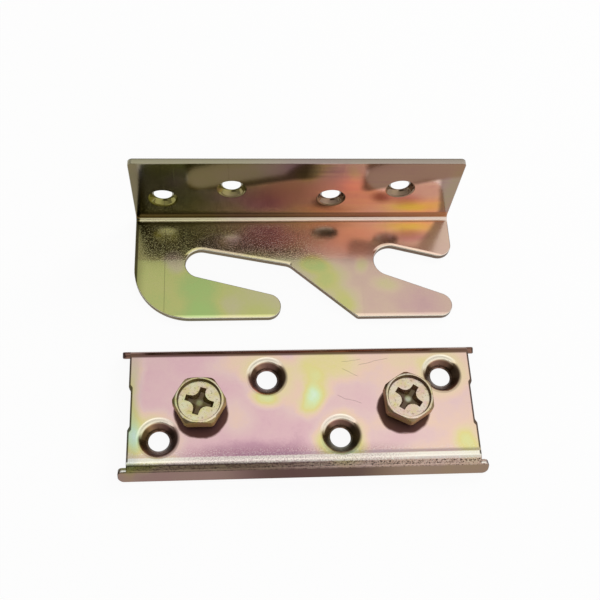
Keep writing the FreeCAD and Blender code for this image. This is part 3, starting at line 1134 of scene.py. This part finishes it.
def set_camera(place, lens):
    ahead = view_right.cross(view_down)
    camera = bpy.data.cameras.new("camera")
    camera.lens = lens
    camera.sensor_width = sensor_width
    camera.clip_start = 0.01
    holder = linked("camera", camera)
    turn = Matrix((view_right, -view_down, -ahead)).transposed().to_4x4()
    holder.matrix_world = Matrix.Translation(place) @ turn
    bpy.context.scene.camera = holder


# Settings


class PlateSettings(bpy.types.PropertyGroup):
    edge_width: FloatProperty(
        name="Edge width",
        description="Rounding of the sharp edges of both plates",
        default=0.18 * mm,
        min=0.0,
        precision=5,
        subtype="DISTANCE",
        unit="LENGTH",
    )
    edge_steps: IntProperty(
        name="Edge steps",
        description="Facets across a rounded edge",
        default=2,
        min=1,
    )


class BoltSettings(bpy.types.PropertyGroup):
    root_radius: FloatProperty(
        name="Root radius",
        description="Radius at the bottom of the thread",
        default=3.35 * mm,
        precision=5,
        subtype="DISTANCE",
        unit="LENGTH",
    )
    crest_radius: FloatProperty(
        name="Crest radius",
        description="Radius at the top of the thread",
        default=3.98 * mm,
        precision=5,
        subtype="DISTANCE",
        unit="LENGTH",
    )
    pitch: FloatProperty(
        name="Pitch",
        description="Rise of the thread in one turn",
        default=1.25 * mm,
        precision=5,
        subtype="DISTANCE",
        unit="LENGTH",
    )
    shank_length: FloatProperty(
        name="Shank length",
        description="From the under face of the head to the tip",
        default=8.0 * mm,
        precision=5,
        subtype="DISTANCE",
        unit="LENGTH",
    )
    sunk: FloatProperty(
        name="Sunk",
        description="How far the shank reaches into the head",
        default=0.3 * mm,
        precision=5,
        subtype="DISTANCE",
        unit="LENGTH",
    )
    tip_chamfer: FloatProperty(
        name="Tip chamfer",
        description="Chamfer at the end of the shank",
        default=0.8 * mm,
        precision=5,
        subtype="DISTANCE",
        unit="LENGTH",
    )
    edge_width: FloatProperty(
        name="Edge width",
        description="Rounding of the edges of the head",
        default=0.2 * mm,
        precision=5,
        subtype="DISTANCE",
        unit="LENGTH",
    )
    edge_steps: IntProperty(name="Edge steps", description="Facets across a rounded edge", default=2)
    steps_around: IntProperty(name="Steps around", description="Facets round the shank", default=64)
    steps_along: IntProperty(name="Steps along", description="Facets along the shank", default=72)


class StageSettings(bpy.types.PropertyGroup):
    lens: FloatProperty(
        name="Lens",
        description="Focal length on a 36 mm wide sensor",
        default=55.39,
        unit="CAMERA",
    )
    viewpoint: FloatVectorProperty(
        name="Viewpoint",
        description="Where the camera stands",
        default=(-0.02129, -0.11563, 0.25632),
        subtype="TRANSLATION",
        unit="LENGTH",
    )
    floor_colour: FloatVectorProperty(
        name="Floor colour",
        description="Colour of the plain floor",
        default=(0.90, 0.90, 0.90, 1.0),
        size=4,
        subtype="COLOR",
    )
    floor_glow: FloatProperty(
        name="Floor glow",
        description="Share of the floor that shows as plain white",
        default=0.93,
        subtype="FACTOR",
    )
    key_power: FloatProperty(
        name="Key lamp",
        description="Power of the soft lamp above",
        default=2.0,
        unit="POWER",
    )


# Operators


class BEDRAIL_OT_hook_plate(bpy.types.Operator):
    """Dress the rail half"""

    bl_idname = "bedrail.hook_plate"
    bl_label = "Hook plate"

    def execute(self, context):
        settings = context.scene.bedrail_plates
        widths = (settings.edge_width, settings.edge_steps)
        names = ("hook_plate", "hook_plate_finish", "plates", "hook_zinc")
        dressed(*names, hook_finish(), *widths)
        return {"FINISHED"}


class BEDRAIL_OT_receiver_plate(bpy.types.Operator):
    """Dress the post half"""

    bl_idname = "bedrail.receiver_plate"
    bl_label = "Receiver plate"

    def execute(self, context):
        settings = context.scene.bedrail_plates
        widths = (settings.edge_width, settings.edge_steps)
        names = ("receiver_plate", "receiver_plate_finish", "plates", "receiver_zinc")
        dressed(*names, receiver_finish(), *widths)
        return {"FINISHED"}


class BEDRAIL_OT_bolts(bpy.types.Operator):
    """Dress both bolts and cut their threads"""

    bl_idname = "bedrail.bolts"
    bl_label = "Bolts"

    def execute(self, context):
        material = bolt_finish()
        for node in ("left_bolt", "right_bolt"):
            dressed_bolt(node, material, context.scene.bedrail_bolts)
        return {"FINISHED"}


class BEDRAIL_OT_stage(bpy.types.Operator):
    """Lay the floor, light the room and set the camera"""

    bl_idname = "bedrail.stage"
    bl_label = "Stage"

    def execute(self, context):
        settings = context.scene.bedrail_stage
        context.scene.view_settings.view_transform = "Standard"
        lay_floor(settings.floor_colour, settings.floor_glow)
        light_room()
        hang_lamp("key", lamp_place, lamp_target, lamp_size, settings.key_power)
        set_camera(Vector(settings.viewpoint), settings.lens)
        return {"FINISHED"}


class BEDRAIL_PT_panel(bpy.types.Panel):
    bl_idname = "BEDRAIL_PT_panel"
    bl_label = "Bed rail fastener"
    bl_space_type = "VIEW_3D"
    bl_region_type = "UI"
    bl_category = "Bed rail"

    def draw(self, context):
        for operator in operators:
            self.layout.operator(operator.bl_idname)
        for name in settings_groups:
            group = getattr(context.scene, name)
            box = self.layout.box()
            for key in group.__annotations__:
                box.prop(group, key)


operators = (
    BEDRAIL_OT_hook_plate,
    BEDRAIL_OT_receiver_plate,
    BEDRAIL_OT_bolts,
    BEDRAIL_OT_stage,
)
settings_groups = {
    "bedrail_plates": PlateSettings,
    "bedrail_bolts": BoltSettings,
    "bedrail_stage": StageSettings,
}


def register():
    for name, group in settings_groups.items():
        bpy.utils.register_class(group)
        setattr(bpy.types.Scene, name, PointerProperty(type=group))
    for operator in operators:
        bpy.utils.register_class(operator)
    bpy.utils.register_class(BEDRAIL_PT_panel)


def unregister():
    bpy.utils.unregister_class(BEDRAIL_PT_panel)
    for operator in reversed(operators):
        bpy.utils.unregister_class(operator)
    for name, group in settings_groups.items():
        delattr(bpy.types.Scene, name)
        bpy.utils.unregister_class(group)


def main():
    register()
    bpy.ops.bedrail.hook_plate()
    bpy.ops.bedrail.receiver_plate()
    bpy.ops.bedrail.bolts()
    bpy.ops.bedrail.stage()


if __name__ == "__main__":
    main()
